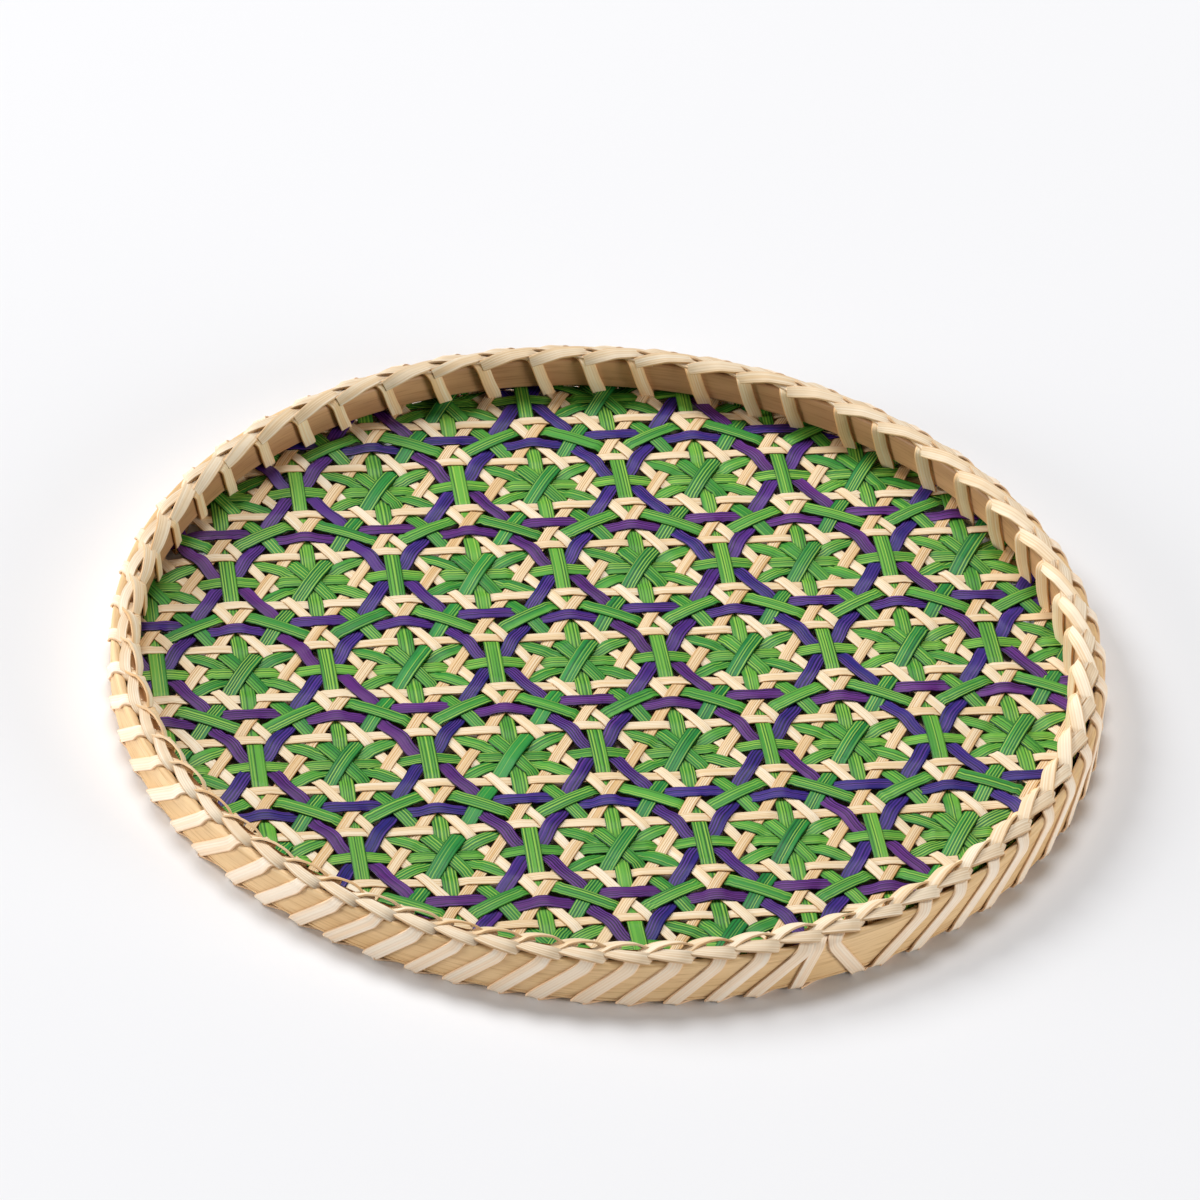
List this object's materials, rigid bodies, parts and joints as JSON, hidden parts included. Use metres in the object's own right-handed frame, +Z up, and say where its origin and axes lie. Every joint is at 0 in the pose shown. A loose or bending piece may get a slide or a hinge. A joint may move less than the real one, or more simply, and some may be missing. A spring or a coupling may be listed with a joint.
{
  "type": "round woven tray",
  "caption": "Round shallow woven tray: an open star weave of cream, green and purple cane strips on a dark backing, clamped between two bent hoops by a cane lashing with a plaited top edge.",
  "frame": {"origin": "centre of the tray, on the surface that it stands on", "axes": "+Z up out of the tray, +X to the picture's right, +Y away from the picture's camera"},
  "size_m": [0.3202, 0.3202, 0.0205],
  "materials": {
    "hoop_bamboo": "satin split bamboo with fine grain along the hoop",
    "cream_cane": "smooth natural cane with fine lengthways grain",
    "purple_cane": "dyed cane, violet to indigo, with fine lengthways ridges",
    "green_cane": "dyed cane in streaks of light and dark green",
    "lashing_cane": "smooth pale cane peel",
    "backing": "thin matt dark brown fibre sheet"
  },
  "bodies": {
    "root": {"backing_sheet": "backing", "cream_strip_a1": "cream_cane", "cream_strip_a10": "cream_cane", "cream_strip_a11": "cream_cane", "cream_strip_a12": "cream_cane", "cream_strip_a2": "cream_cane", "cream_strip_a3": "cream_cane", "cream_strip_a4": "cream_cane", "cream_strip_a5": "cream_cane", "cream_strip_a6": "cream_cane", "cream_strip_a7": "cream_cane", "cream_strip_a8": "cream_cane", "cream_strip_a9": "cream_cane", "cream_strip_b1": "cream_cane", "cream_strip_b10": "cream_cane", "cream_strip_b11": "cream_cane", "cream_strip_b12": "cream_cane", "cream_strip_b13": "cream_cane", "cream_strip_b2": "cream_cane", "cream_strip_b3": "cream_cane", "cream_strip_b4": "cream_cane", "cream_strip_b5": "cream_cane", "cream_strip_b6": "cream_cane", "cream_strip_b7": "cream_cane", "cream_strip_b8": "cream_cane", "cream_strip_b9": "cream_cane", "cream_strip_c1": "cream_cane", "cream_strip_c10": "cream_cane", "cream_strip_c11": "cream_cane", "cream_strip_c12": "cream_cane", "cream_strip_c2": "cream_cane", "cream_strip_c3": "cream_cane", "cream_strip_c4": "cream_cane", "cream_strip_c5": "cream_cane", "cream_strip_c6": "cream_cane", "cream_strip_c7": "cream_cane", "cream_strip_c8": "cream_cane", "cream_strip_c9": "cream_cane", "green_cross_strips": "green_cane", "green_star_strips": "green_cane", "inner_hoop": "hoop_bamboo", "outer_hoop": "hoop_bamboo", "purple_ring_strips": "purple_cane", "rim_lashing": "lashing_cane", "rim_plait": "lashing_cane", "turned_up_edge": "cream_cane"}
  },
  "joints": []
}
